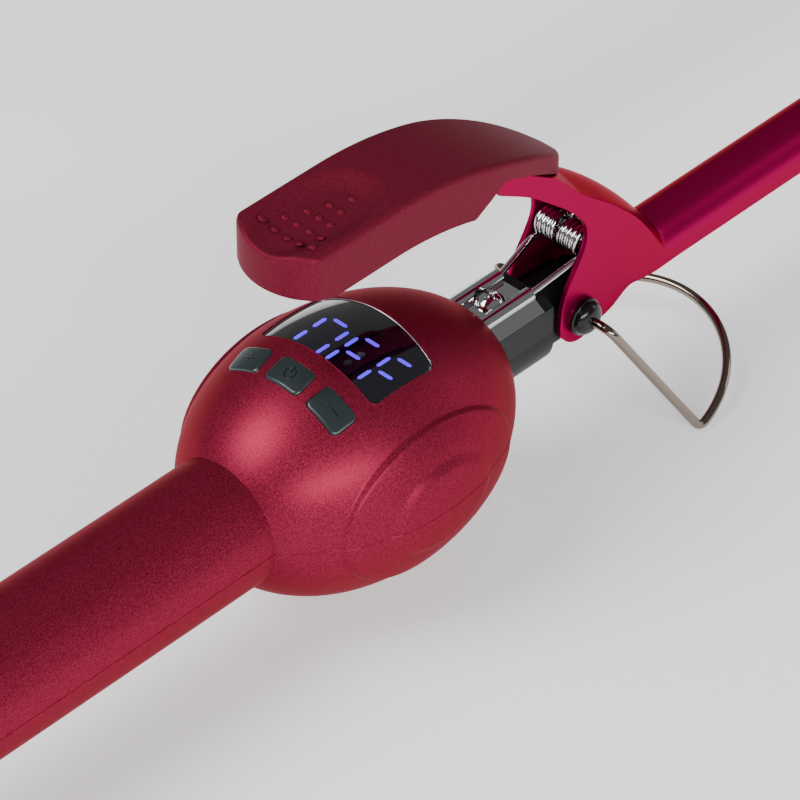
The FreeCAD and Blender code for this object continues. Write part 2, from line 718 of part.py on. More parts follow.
def clamp():
    """One pressing: tongue under the lever, arched hood, two ears and the long half-round spoon."""
    sheet = float(d.sheet)
    stations = [float(d.spoonStart) - 5.5 * step for step in range(10, -1, -1)]
    outer_wires = []
    inner_wires = []
    for x in stations:
        half, crest, side = hood_section(x)
        outer_wires.append(hood_wire(x, half, crest, side, -12))
        inner_side = side - sheet * 0.6 if x < stations[-1] else side
        inner_wires.append(hood_wire(x, half - sheet, crest - sheet, inner_side, -13))
    outer = Part.makeLoft(outer_wires, True)
    inner = Part.makeLoft(inner_wires, True)
    slab = clamp_profile().extrude(Vector(0, 40, 0))
    slab.translate(Vector(0, -20, 0))
    hood = outer.cut(inner).common(slab)

    arc_radius = float(d.leverArc - d.leverThin) - 0.05
    arc_start = Vector(float(d.leverFlat), -20, float(lever_centre))
    ring = Part.makeCylinder(arc_radius, 40, arc_start, Vector(0, 1, 0))
    ring = ring.cut(Part.makeCylinder(arc_radius - sheet, 40, arc_start, Vector(0, 1, 0)))
    half = float(d.earOuter) - 0.6
    tongue_start = float(d.tongueRear)
    strip = Part.makeBox(stations[0] + 3 - tongue_start, 2 * half, 60, Vector(tongue_start, -half, 20))
    hood = hood.fuse(ring.common(strip))

    start = float(d.spoonStart)
    length = float(d.spoonFront) - start
    axis = Vector(start, 0, float(d.spoonLevel))
    radius = float(d.spoonRadius)
    tube = Part.makeCylinder(radius, length, axis, Vector(1, 0, 0))
    tube = tube.cut(Part.makeCylinder(radius - sheet, length, axis, Vector(1, 0, 0)))
    above = Part.makeBox(length, 4 * radius, 4 * radius, Vector(start, -2 * radius, float(d.spoonEdge)))
    nose = Part.makeCylinder(radius, 4 * radius, Vector(float(d.spoonFront) - radius, 0, -2 * radius))
    low_corner = Vector(start, -2 * radius, -2 * radius)
    straight = Part.makeBox(length - radius, 4 * radius, 4 * radius, low_corner)
    spoon = tube.common(above).common(nose.fuse(straight))

    holes = []
    ear_hole = float(d.shoulderRadius + d.fitGap)
    pivot = Vector(float(d.pivotForward), -20, float(d.pivotLevel))
    holes.append(Part.makeCylinder(ear_hole, 40, pivot, Vector(0, 1, 0)))
    for x in lever_screw_places:
        holes.append(Part.makeCylinder(1.3, 20, Vector(float(x), 0, 40)))
    item = document.addObject("Part::Feature", "Clamp")
    item.Shape = hood.fuse(spoon).cut(Part.makeCompound(holes)).removeSplitter()
    sub_part(item, "clamp_spoon")


# ---------------------------------------------------------------- thumb lever

lever_screw_places = (d.leverFlat + 4, d.leverFlat + 11)


def tongue_seat(x):
    """Height of the lever's underside at x as a size tied to the sheet."""
    run = x - d.leverFlat
    radius = d.leverArc - d.leverThin
    return lever_centre + root(radius * radius - run * run)


def lever_form(depth):
    """Everything below the lever's top surface lowered by depth: flat behind, an arc in front."""
    width = d.leverHalf * 2 + 4
    arc = cylinder(d.leverArc - depth, width, d.leverFlat, -width / 2, lever_centre, along_y)
    flat = block(d.leverRear - 10, -width / 2, lever_centre, d.leverFlat, width / 2, d.leverTop - depth)
    return fuse(arc, flat)


def lever_plan():
    """Plan outline of the lever: bowed rear end, straight sides, rounded taper in front."""
    low = 30
    height = 40
    rear_bow = 14.6
    slab = block(d.leverRear - 10, -d.leverHalf, low, d.leverFront, d.leverHalf, low + height)
    rear = cylinder(rear_bow, height, d.leverRear - 3.2 + rear_bow, 0, low)
    behind = block(d.leverRear + 6, -d.leverHalf, low, d.leverFront, d.leverHalf, low + height)
    nose_reach = 26
    nose = document.addObject("Part::Ellipsoid", "Nose")
    bind(nose, "Radius1", height * 2)
    bind(nose, "Radius2", nose_reach)
    bind(nose, "Radius3", d.leverHalf + 0.3)
    place(nose, d.leverFront - nose_reach, 0, low + height / 2)
    body = block(d.leverRear - 10, -d.leverHalf, low, d.leverFront - nose_reach, d.leverHalf, low + height)
    return common(slab, fuse(rear, behind), fuse(nose, body))


def thumb_lever():
    plan = lever_plan()
    body = common(plan, lever_form(0))
    thick = cut(body, lever_form(d.leverDeep))
    thin = cut(body, lever_form(d.leverThin))
    ramp = block(0, 0, 0, 60, 40, 30)
    ramp_turn = Rotation(Vector(0, 1, 0), -29) * Rotation(Vector(1, 0, 0), 180)
    place(ramp, d.leverStep - 0.5, 20, d.leverTop - 13.7, ramp_turn)
    heel = block(0, 0, 0, 30, 40, 20)
    place(heel, d.leverRear + 5, -20, d.leverTop - d.leverDeep, Rotation(Vector(0, 1, 0), 200))
    solid = fuse(cut(thick, ramp, heel), thin)
    wall = d.leverWall
    cavity = common(
        block(d.leverRear + wall, -d.leverHalf + wall, 20, d.leverStep + 12, d.leverHalf - wall, 80),
        lever_form(d.leverThin),
    )
    pilots = [cylinder(0.9, 4, x, 0, tongue_seat(x) - 1.8) for x in lever_screw_places]
    sub_part(cut(solid, cavity, *pilots), "thumb_lever")
    screws = []
    for x in lever_screw_places:
        head_top = tongue_seat(x) - d.sheet - 0.4
        shank = cylinder(0.9, d.sheet + 2.4, x, 0, head_top - 0.5)
        screws.append(fuse(shank, cylinder(1.9, 1.2, x, 0, head_top - 1.2)))
    sub_part(compound(*screws), "lever_screws")


# ---------------------------------------------------------------- stand

def arc_between(before, corner, after, radius):
    """The tangent arc that rounds a corner, with its two end points."""
    back = before.sub(corner).normalize()
    ahead = after.sub(corner).normalize()
    half = back.getAngle(ahead) / 2
    reach = radius / math.tan(half)
    start = corner + back * reach
    end = corner + ahead * reach
    middle = (back + ahead).normalize()
    centre_distance = radius / math.sin(half)
    mid = corner + middle * (centre_distance - radius)
    return start, mid, end


def stand_wire():
    """Bent wire rest: an end in each pivot screw, two splayed legs and a half-round foot."""
    pivot_x = float(d.pivotForward)
    pivot_z = float(d.pivotLevel)
    tilt = math.radians(float(d.standTilt))
    forward = Vector(math.cos(tilt), 0, math.sin(tilt))
    radius = float(d.standRadius)
    centre = Vector(float(d.standCentre), 0, float(d.standLevel))
    run = float(d.standRun)
    inner = float(d.barrelRadius) + 0.3 + 0.8 + 0.3
    path = []

    def side_points(side):
        across = Vector(0, side, 0)
        end = Vector(pivot_x, side * inner, pivot_z)
        elbow = Vector(pivot_x, side * float(d.standReach), pivot_z)
        corner = centre + across * radius
        foot = corner + forward * run
        return end, elbow, corner, foot

    end, elbow, corner, foot = side_points(-1)
    a0, a1, a2 = arc_between(end, elbow, corner, float(d.elbowRadius))
    b0, b1, b2 = arc_between(elbow, corner, foot, float(d.cornerRadius))
    half = [
        Part.makeLine(end, a0), Part.Arc(a0, a1, a2).toShape(),
        Part.makeLine(a2, b0), Part.Arc(b0, b1, b2).toShape(),
    ]
    other_foot = side_points(1)[-1]
    bow = Part.Arc(foot, centre + forward * radius, other_foot).toShape()
    first_run = [Part.makeLine(b2, foot)] if b2.distanceToPoint(foot) > 1e-3 else []
    mirrored = [edge.mirror(Vector(0, 0, 0), Vector(0, 1, 0)) for edge in reversed(half + first_run)]
    wire = Part.Wire(Part.__sortEdges__(half + first_run + [bow] + mirrored))
    section = Part.Wire([Part.makeCircle(float(d.wireRadius), end, elbow.sub(end))])
    item = document.addObject("Part::Feature", "Stand")
    item.Shape = wire.makePipeShell([section], True, False)
    sub_part(item, "stand_wire")


# ---------------------------------------------------------------- rear end

def rear_end():
    rear = -d.handleLength
    bore = d.glandNeck + d.fitGap
    spigot = d.handleRadius - d.wall - 0.1
    cap = revolved("end_cap", [
        (rear - d.capThick, bore), (rear + d.plugLength, bore), (rear + d.plugLength, spigot),
        (rear, spigot), (rear, d.handleRadius), (rear - d.capThick * 0.55, d.handleRadius),
        (rear - d.capThick * 0.9, d.handleRadius - 1.6), (rear - d.capThick, d.handleRadius - 3.6),
    ])
    sub_part(cap, "end_cap")
    inside = rear + d.plugLength + 0.1
    outside = rear - d.capThick - 0.1
    mouth = rear - d.glandReach
    spindle = inside + 13
    gland = revolved("swivel_gland", [
        (mouth, d.glandBore), (spindle, d.glandBore), (spindle, d.ringRadius - 0.6),
        (inside + 2, d.ringRadius - 0.6), (inside + 2, d.glandFlange), (inside, d.glandFlange),
        (inside, d.glandNeck), (outside, d.glandNeck), (outside, d.glandNeck + 1.6),
        (outside - 3, d.glandNeck + 1.6), (outside - 4, d.glandNeck + 0.6), (mouth + 1, d.glandEnd),
        (mouth, d.glandEnd - 0.6),
    ])
    sub_part(gland, "swivel_gland")
    rings = []
    for step in (4, 8):
        ring = cylinder(d.ringRadius, 2, inside + step, 0, 0, along_x)
        rings.append(cut(ring, cylinder(d.ringRadius - 0.6, 4, inside + step - 1, 0, 0, along_x)))
    sub_part(compound(*rings), "slip_rings")
    tip_gap = cylinder(d.ringRadius + 0.08, 20, inside, 0, 0, along_x)
    brushes = []
    for step in (4, 8):
        start = inside + step + 0.2
        brushes.append(block(start, -1, d.ringRadius - 0.2, start + 1.6, 1, d.ringRadius + 3))
    holder = cut(
        cylinder(spigot, 10, inside + 3, 0, 0, along_x),
        cylinder(d.ringRadius + 1.8, 12, inside + 2, 0, 0, along_x),
        *brushes,
    )
    sub_part(holder, "brush_holder")
    sub_part(compound(*[cut(brush, tip_gap) for brush in brushes]), "contact_brushes")


# ---------------------------------------------------------------- build, check and write

def build():
    housing()
    housing_screws()
    display()
    for label, side in (("button_plus", -1), ("button_power", 0), ("button_minus", 1)):
        key(label, side * d.keyPitch)
    switches()
    circuit_board()
    neck()
    barrel()
    pivots()
    spring_plate()
    torsion_spring()
    clamp()
    thumb_lever()
    stand_wire()
    rear_end()


def check():
    document.recompute()
    for item in document.Objects:
        if "Invalid" in item.State or "Error" in item.State:
            raise RuntimeError("%s (%s) did not compute: %s" % (item.Name, item.Label, item.State))
    for label, item in sub_parts.items():
        shape = item.Shape
        if shape.isNull() or not shape.isValid() or shape.Volume < 0.1:
            raise RuntimeError("%s has no valid solid" % label)


build()
check()
os.makedirs("parts", exist_ok=True)
for label, item in sub_parts.items():
    item.Shape.exportStep("parts/%s.step" % label)
    box = item.Shape.BoundBox
    spans = (box.XMin, box.XMax, box.YMin, box.YMax, box.ZMin, box.ZMax)
    print("%-18s %d solid %8.1f mm3" % (label, len(item.Shape.Solids), item.Shape.Volume), end="  ")
    print("x %.1f..%.1f y %.1f..%.1f z %.1f..%.1f" % spans)
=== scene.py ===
import json
import math

import bmesh
import bpy
import numpy as np
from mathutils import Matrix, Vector


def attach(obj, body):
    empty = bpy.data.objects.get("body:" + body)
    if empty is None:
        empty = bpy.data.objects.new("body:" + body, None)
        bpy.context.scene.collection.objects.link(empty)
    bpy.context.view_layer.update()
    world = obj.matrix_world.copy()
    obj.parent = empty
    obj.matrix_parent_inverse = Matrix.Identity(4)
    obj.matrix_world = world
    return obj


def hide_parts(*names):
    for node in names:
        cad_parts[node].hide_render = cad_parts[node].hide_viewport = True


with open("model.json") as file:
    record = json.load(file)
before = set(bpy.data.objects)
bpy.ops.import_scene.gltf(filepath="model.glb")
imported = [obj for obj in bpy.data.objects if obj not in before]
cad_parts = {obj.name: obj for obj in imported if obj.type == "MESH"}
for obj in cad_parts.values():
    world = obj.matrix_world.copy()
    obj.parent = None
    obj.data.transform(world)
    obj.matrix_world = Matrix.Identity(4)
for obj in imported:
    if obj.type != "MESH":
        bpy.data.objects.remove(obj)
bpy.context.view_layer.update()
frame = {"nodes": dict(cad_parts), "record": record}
nodes = frame["nodes"]
print("frame loaded:", len(nodes), "nodes")

ballCentre = 0.168  # the housing's centre, ahead of the cord inlet


# ---- shader maths as plain expressions

class Socket:
    # one value or colour socket inside a material's tree
    def __init__(self, tree, socket):
        self.tree = tree
        self.socket = socket

    def node(self, kind, settings=None, inputs=None, output=0):
        return makeNode(self.tree, kind, settings, inputs, output)

    def maths(self, operation, other=None, swapped=False):
        pair = [self, other] if not swapped else [other, self]
        if other is None:
            pair = [self]
        return self.node("ShaderNodeMath", {"operation": operation}, dict(enumerate(pair)))

    def __add__(self, other):
        return self.maths("ADD", other)

    def __radd__(self, other):
        return self.maths("ADD", other)

    def __sub__(self, other):
        return self.maths("SUBTRACT", other)

    def __rsub__(self, other):
        return self.maths("SUBTRACT", other, True)

    def __mul__(self, other):
        return self.maths("MULTIPLY", other)

    def __rmul__(self, other):
        return self.maths("MULTIPLY", other)

    def __truediv__(self, other):
        return self.maths("DIVIDE", other)

    def __rtruediv__(self, other):
        return self.maths("DIVIDE", other, True)

    def __pow__(self, other):
        return self.maths("POWER", other)

    def above(self, other):
        return self.maths("GREATER_THAN", other)

    def below(self, other):
        return self.maths("LESS_THAN", other)


def makeNode(tree, kind, settings=None, inputs=None, output=0):
    made = tree.nodes.new(kind)
    for name, value in (settings or {}).items():
        if name == "stops":
            ramp = made.color_ramp
            while len(ramp.elements) < len(value):
                ramp.elements.new(0.5)
            for element, (position, colour) in zip(ramp.elements, value):
                element.position = position
                element.color = (*colour, 1)
        else:
            setattr(made, name, value)
    for key, value in (inputs or {}).items():
        if isinstance(value, Socket):
            tree.links.new(value.socket, made.inputs[key])
        else:
            made.inputs[key].default_value = value
    return Socket(tree, made.outputs[output])


class Finish:
    # a material with its principled shader
    def __init__(self, name, colour, roughness, metallic=0.0, coat=0.0, coatRoughness=0.05, **constants):
        self.material = bpy.data.materials.new(name)
        self.material.use_nodes = True
        self.tree = self.material.node_tree
        self.shader = self.tree.nodes["Principled BSDF"]
        self.material.diffuse_color = (*colour, 1)
        self.constant("Base Color", (*colour, 1))
        self.constant("Roughness", roughness)
        self.constant("Metallic", metallic)
        self.constant("Coat Weight", coat)
        self.constant("Coat Roughness", coatRoughness)
        for key, value in constants.items():
            self.constant(key, value)

    def constant(self, name, value):
        self.shader.inputs[name].default_value = value

    def link(self, name, value):
        self.tree.links.new(value.socket, self.shader.inputs[name])

    def place(self, scale=1.0):
        coordinates = makeNode(self.tree, "ShaderNodeTexCoord", output="Object")
        return makeNode(self.tree, "ShaderNodeMapping", None, {"Vector": coordinates, "Scale": (scale,) * 3})

    def noise(self, scale, detail=2.0, roughness=0.5):
        inputs = {"Vector": self.place(), "Scale": scale, "Detail": detail, "Roughness": roughness}
        return makeNode(self.tree, "ShaderNodeTexNoise", None, inputs)

    def mix(self, share, first, second):
        inputs = {"Factor": share, 6: first, 7: second}
        return makeNode(self.tree, "ShaderNodeMix", {"data_type": "RGBA"}, inputs, 2)

    def bump(self, height, distance, strength=1.0):
        inputs = {"Strength": strength, "Distance": distance, "Height": height}
        self.link("Normal", makeNode(self.tree, "ShaderNodeBump", None, inputs))


warmEdge = {"Specular IOR Level": 0.18, "Specular Tint": (0.75, 0.12, 0.22, 1)}  # keeps glancing light red


def speckledPaint(name, dark, bright, roughness, metallic):
    # metal-flake paint: fine flakes vary the colour and the roughness
    finish = Finish(name, bright, roughness, metallic, **warmEdge)
    flakes = finish.noise(3800, 1.0)
    share = makeNode(finish.tree, "ShaderNodeMapRange", None,
                     {"Value": flakes, "From Min": 0.35, "From Max": 0.65})
    finish.link("Base Color", finish.mix(share, (*dark, 1), (*bright, 1)))
    finish.link("Roughness", share * 0.10 + (roughness - 0.05))
    finish.bump(flakes, 0.00003, 0.35)
    return finish.material


finishes = {
    "housing": speckledPaint("satinMaroon", (0.160, 0.010, 0.024), (0.275, 0.020, 0.052), 0.43, 0.7),
    "lever": speckledPaint("softMaroon", (0.110, 0.008, 0.019), (0.165, 0.013, 0.032), 0.50, 0.35),
    "lacquer": Finish("crimsonLacquer", (0.33, 0.004, 0.068), 0.33, 0.85, **warmEdge).material,
    "black": Finish("moulding", (0.003, 0.005, 0.005), 0.42, **{"Specular IOR Level": 0.28}).material,
    "cap": Finish("capGloss", (0.004, 0.004, 0.005), 0.2, **{"Specular IOR Level": 0.35}).material,
    "keys": Finish("keyTop", (0.012, 0.020, 0.021), 0.32, 0.0, 0.2).material,
    "window": Finish("smokedWindow", (0.002, 0.002, 0.006), 0.06, 0.0, 1.0).material,
    "chrome": Finish("chrome", (0.62, 0.62, 0.64), 0.10, 1.0).material,
    "wire": Finish("darkNickel", (0.24, 0.20, 0.165), 0.12, 1.0).material,
    "steel": Finish("steel", (0.55, 0.55, 0.56), 0.3, 1.0).material,
    "board": Finish("board", (0.02, 0.12, 0.05), 0.45).material,
    "contact": Finish("contact", (0.75, 0.52, 0.2), 0.25, 1.0).material,
    "heater": Finish("heater", (0.78, 0.75, 0.68), 0.6).material,
}
slotOf = {entry["node"]: entry["material_slot"] for entry in frame["record"]["subparts"]}
for name, item in nodes.items():
    item.data.materials.clear()
    item.data.materials.append(finishes[slotOf[name]])
print("finishes set")


# ---- surfaces worked out on grids, in millimetres about the housing's centre

def gridFaces(rows, columns, wrap=False, first=0):
    # quads between neighbouring rows and columns, the last column joined to the first if it wraps
    index = first + np.arange(rows * columns).reshape(rows, columns)
    if wrap:
        index = np.hstack([index, index[:, :1]])
    quads = np.stack([index[:-1, :-1], index[:-1, 1:], index[1:, 1:], index[1:, :-1]], -1)
    return quads.reshape(-1, 4)


def slabFaces(rows, columns):
    # two equal grids, one over the other, and the four strips that join their borders
    count = rows * columns
    top = gridFaces(rows, columns)
    index = np.arange(count).reshape(rows, columns)
    rim = np.concatenate([index[0, :-1], index[:-1, -1], index[-1, :0:-1], index[:0:-1, 0]])
    following = np.roll(rim, -1)
    walls = np.stack([rim, rim + count, following + count, following], -1)
    return np.concatenate([top, top[:, ::-1] + count, walls])


def addPiece(name, points, faces, slot, body, replaced=(), sharp=40, material=None):
    mesh = bpy.data.meshes.new(name)
    placed = np.asarray(points, float).reshape(-1, 3) * 0.001 + (ballCentre, 0, 0)
    mesh.from_pydata(placed.tolist(), [], [[int(corner) for corner in face] for face in faces])
    work = bmesh.new()
    work.from_mesh(mesh)
    bmesh.ops.remove_doubles(work, verts=work.verts, dist=0.000002)
    bmesh.ops.recalc_face_normals(work, faces=work.faces)
    work.to_mesh(mesh)
    work.free()
    mesh.shade_smooth()
    mesh.set_sharp_from_angle(angle=math.radians(sharp))
    item = bpy.data.objects.new(name, mesh)
    bpy.context.scene.collection.objects.link(item)
    mesh.materials.append(material or finishes[slot])
    if body:
        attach(item, body)
    if replaced:
        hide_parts(*replaced)
    return item


def closedGrid(rowsOfPoints):
    # rings of points along the first axis, with a face across each end
    rows, columns = rowsOfPoints.shape[:2]
    faces = gridFaces(rows, columns, True).tolist()
    faces.append(list(range(columns)))
    faces.append(list(range((rows - 1) * columns, rows * columns)))
    return rowsOfPoints.reshape(-1, 3), faces


def joinMeshes(parts):
    points = []
    faces = []
    first = 0
    for partPoints, partFaces in parts:
        flat = np.asarray(partPoints).reshape(-1, 3)
        points.append(flat)
        faces += [[corner + first for corner in face] for face in partFaces]
        first += len(flat)
    return np.concatenate(points), faces


def tube(path, radius, sides=20):
    # a circle carried along a path: each ring stands square to the path, turned as little as possible
    path = np.asarray(path, float)
    along = np.gradient(path, axis=0)
    along /= np.linalg.norm(along, axis=1, keepdims=True)
    across = np.zeros_like(path)
    start = np.cross(along[0], (0.31, 0.52, 0.79))
    across[0] = start / np.linalg.norm(start)
    for station in range(1, len(path)):
        leaning = across[station - 1] - along[station] * (across[station - 1] @ along[station])
        across[station] = leaning / np.linalg.norm(leaning)
    upward = np.cross(along, across)
    turn = np.linspace(0, 2 * np.pi, sides, endpoint=False)
    rings = (np.cos(turn)[None, :, None] * across[:, None] + np.sin(turn)[None, :, None] * upward[:, None])
    radius = np.broadcast_to(np.asarray(radius, float), len(path))
    return closedGrid(path[:, None] + radius[:, None, None] * rings)


def smoothStep(value, start, end):
    share = np.clip((value - start) / (end - start), 0, 1)
    return share * share * (3 - 2 * share)


def roundedPath(corners, radii, step=0.4):
    # straight runs through the corners, each inner corner rounded with a tangent arc
    corners = np.asarray(corners, float)
    points = [corners[:1]]
    for corner, radius in zip(range(1, len(corners) - 1), radii):
        back = corners[corner - 1] - corners[corner]
        ahead = corners[corner + 1] - corners[corner]
        back /= np.linalg.norm(back)
        ahead /= np.linalg.norm(ahead)
        half = math.acos(np.clip(back @ ahead, -1, 1)) / 2
        reach = radius / math.tan(half)
        inner = (back + ahead) / np.linalg.norm(back + ahead)
        centre = corners[corner] + inner * radius / math.sin(half)
        sweep = np.pi - 2 * half
        angle = np.linspace(-sweep / 2, sweep / 2, 9)[:, None]
        sideways = (ahead - back) / np.linalg.norm(ahead - back)
        points.append(centre - inner * radius * np.cos(angle) + sideways * radius * np.sin(angle))
    points.append(corners[-1:])
    joined = np.concatenate(points)
    gaps = np.linalg.norm(np.diff(joined, axis=0), axis=1)
    pieces = [np.linspace(a, b, max(int(gap / step), 1), endpoint=False)
              for a, b, gap in zip(joined[:-1], joined[1:], gaps)]
    return np.concatenate(pieces + [joined[-1:]])


def turnedAboutBarrel(points, degrees):
    angle = math.radians(degrees)
    x, y, z = np.moveaxis(np.asarray(points), -1, 0)
    return np.stack([x, y * math.cos(angle) - z * math.sin(angle), y * math.sin(angle) + z * math.cos(angle)], -1)


# ---- round housing and handle

ball = {"radius": 26, "front": 38, "rear": 35, "stepSide": 20.9, "stepHeight": 0.65, "innerSide": 24.6,
        "innerHeight": 0.6, "stepWidth": 0.8, "seam": 0.11, "seamWidth": 0.16}
handle = {"radius": 13, "rear": -150, "front": -28}


def ballHeight(x, y, offset=0.0):
    # height of the housing's surface over a point, moved outwards by offset
    reach = np.where(x > 0, ball["front"], ball["rear"]) + offset
    across = ball["radius"] + offset
    return np.sqrt(np.maximum(across**2 * (1 - (x / reach)**2) - y**2, 0))


def ballSurface():
    # rings about the Y axis: the ring at height y is a stretched circle, and two steps rise towards each side
    def clustered(low, high, centres, coarse, fine, spread):
        base = np.arange(low, high, coarse)
        extra = [np.linspace(centre - spread, centre + spread, fine) for centre in centres]
        return np.unique(np.round(np.concatenate([base, [high]] + extra), 5))

    side = ball["radius"]
    plain = side * np.sin(np.linspace(0, np.pi / 2, 90))
    steps = np.concatenate([np.linspace(edge - 0.7, edge + 0.7, 15) for edge in (ball["stepSide"], ball["innerSide"])])
    half = np.unique(np.round(np.concatenate([plain, steps]), 4))
    y = np.concatenate([-half[:0:-1], half])
    fine = np.radians(np.array([-1.2, -0.7, -0.45, -0.3, -0.15, 0, 0.15, 0.3, 0.45, 0.7, 1.2]))
    plainTurn = np.linspace(0, 2 * np.pi, 240, endpoint=False)
    turn = np.concatenate([plainTurn, fine, np.pi + fine]) % (2 * np.pi)
    turn = np.unique(np.round(turn, 6))
    ring = np.sqrt(np.maximum(1 - (y / side)**2, 0))[:, None]
    cosine = np.cos(turn)[None]
    sine = np.sin(turn)[None]
    reach = np.where(cosine > 0, ball["front"], ball["rear"])
    base = np.stack(np.broadcast_arrays(reach * ring * cosine, y[:, None], side * ring * sine), -1)
    normal = base / np.stack(np.broadcast_arrays(reach, side, side), -1)**2
    normal /= np.linalg.norm(normal, axis=-1, keepdims=True)
    away = np.abs(y)[:, None]
    width = ball["stepWidth"]
    rise = ball["stepHeight"] * smoothStep(away, ball["stepSide"] - width / 2, ball["stepSide"] + width / 2)
    rise = rise + ball["innerHeight"] * smoothStep(away, ball["innerSide"] - width / 2, ball["innerSide"] + width / 2)
    seam = ball["seam"] * (1 - smoothStep(np.abs(base[..., 2]), ball["seamWidth"] / 3, ball["seamWidth"]))
    shape = base + normal * (rise - seam)[..., None]
    return closedGrid(shape)


def handleSurface():
    # a tube's outside whose radius dips at the parting line
    x = np.concatenate([np.linspace(handle["rear"], handle["rear"] + 0.4, 4), np.linspace(-145, handle["front"], 30)])
    fine = np.radians(np.array([-2, -1, -0.6, -0.3, 0, 0.3, 0.6, 1, 2]))
    turn = np.unique(np.round(np.concatenate([np.linspace(0, 2 * np.pi, 128, endpoint=False), fine,
                                              np.pi + fine]) % (2 * np.pi), 6))
    z = np.sin(turn) * handle["radius"]
    dip = ball["seam"] * (1 - smoothStep(np.abs(z), ball["seamWidth"] / 3, ball["seamWidth"]))
    edge = 0.4 - np.sqrt(np.maximum(0.16 - np.maximum(0.4 - (x - handle["rear"]), 0)**2, 0))
    radius = handle["radius"] - dip[None] - edge[:, None]
    return closedGrid(np.stack([np.broadcast_to(x[:, None], radius.shape), radius * np.cos(turn), radius * np.sin(turn)], -1))


def roundedOutline(rear, front, half, corner, bow=0.0, grow=0.0, perCorner=10):
    # a rectangle with round corners, seen from above, whose front edge swells by bow in the middle
    rear, front, half, corner = rear - grow, front + grow, half + grow, corner + grow
    turn = np.linspace(0, np.pi / 2, perCorner)
    xs, ys = [], []
    for cx, cy, start in ((front - corner, half - corner, 0), (rear + corner, half - corner, np.pi / 2),
                          (rear + corner, corner - half, np.pi), (front - corner, corner - half, 1.5 * np.pi)):
        xs.append(cx + corner * np.cos(start + turn))
        ys.append(cy + corner * np.sin(start + turn))
    x, y = np.concatenate(xs), np.concatenate(ys)
    loop = np.stack([x, y], -1)
    loop = np.concatenate([loop, loop[:1]])
    gaps = np.linalg.norm(np.diff(loop, axis=0), axis=1)
    pieces = [np.linspace(a, b, max(int(gap / 0.5), 1), endpoint=False) for a, b, gap in zip(loop[:-1], loop[1:], gaps)]
    loop = np.concatenate(pieces)
    middle = (rear + front) / 2
    swell = -bow * (loop[:, 1] / half)**2 * smoothStep(loop[:, 0], middle, front)
    return np.stack([loop[:, 0] + swell, loop[:, 1]], -1)


window = {"rear": -6.5, "front": 10.9, "half": 14.5, "corner": 1.5, "bow": 1.25, "sunk": 0.35}
key = {"rear": -15.8, "front": -10.2, "half": 4.2, "corner": 1.2, "proud": 0.35, "pitch": 25.6, "gap": 0.15}
windowOutline = roundedOutline(window["rear"], window["front"], window["half"], window["corner"], window["bow"])
windowOpening = roundedOutline(window["rear"], window["front"], window["half"], window["corner"], window["bow"], 0.12)
keyOutline = roundedOutline(key["rear"], key["front"], key["half"], key["corner"])
keyOpening = roundedOutline(key["rear"], key["front"], key["half"], key["corner"], 0, key["gap"])


def prism(outline, low, high):
    rings = np.stack([np.column_stack([outline, np.full(len(outline), level)]) for level in (low, high)])
    return closedGrid(rings)


def pit(x, y, radius, low, high):
    turn = np.linspace(0, 2 * np.pi, 32, endpoint=False)
    outline = np.stack([x + radius * np.cos(turn), y + radius * np.sin(turn)], -1)
    return prism(outline, low, high)


def cutAway(item, cutters):
    # takes the cutters' shapes out of the piece and leaves the result as its mesh
    points, faces = joinMeshes(cutters)
    tool = addPiece("cutter", points, faces, "housing", None)
    step = item.modifiers.new("openings", "BOOLEAN")
    step.operation = "DIFFERENCE"
    step.solver = "EXACT"
    step.object = tool
    bpy.context.view_layer.update()
    result = bpy.data.meshes.new_from_object(item.evaluated_get(bpy.context.evaluated_depsgraph_get()))
    item.modifiers.remove(step)
    old = item.data
    item.data = result
    result.name = item.name
    bpy.data.meshes.remove(old)
    bpy.data.objects.remove(tool)
    item.data.shade_smooth()
    item.data.set_sharp_from_angle(angle=math.radians(40))


def makeHousing():
    points, faces = joinMeshes([ballSurface(), handleSurface()])
    shell = addPiece("housingShell", points, faces, "housing", "housing", ("housing_upper", "housing_lower"))
    cutters = [prism(windowOpening, 17, 30)]
    for side in (-1, 0, 1):
        points, faces = prism(keyOpening, 19, 30)
        cutters.append((turnedAboutBarrel(points, side * key["pitch"]), faces))
    for x, y, seat in ((-120, 0, -6), (-60, 0, -6), (14, 16, -12), (14, -16, -12)):
        cutters.append(pit(x, y, 2.6, -30, seat))
    cutAway(shell, cutters)
    rims = []
    edgeRadius = 0.16
    flat = np.concatenate([windowOpening, windowOpening[:2]])
    rims.append(tube(np.column_stack([flat, ballHeight(flat[:, 0], flat[:, 1], -0.13)]), edgeRadius, 10))
    flat = np.concatenate([keyOpening, keyOpening[:2]])
    line = np.column_stack([flat, ballHeight(flat[:, 0], flat[:, 1], -0.13)])
    for side in (-1, 0, 1):
        rims.append(tube(turnedAboutBarrel(line, side * key["pitch"]), edgeRadius, 10))
    points, faces = joinMeshes(rims)
    addPiece("openingRims", points, faces, "housing", "housing")


makeHousing()
print("housing made")


# ---- window, characters and keys

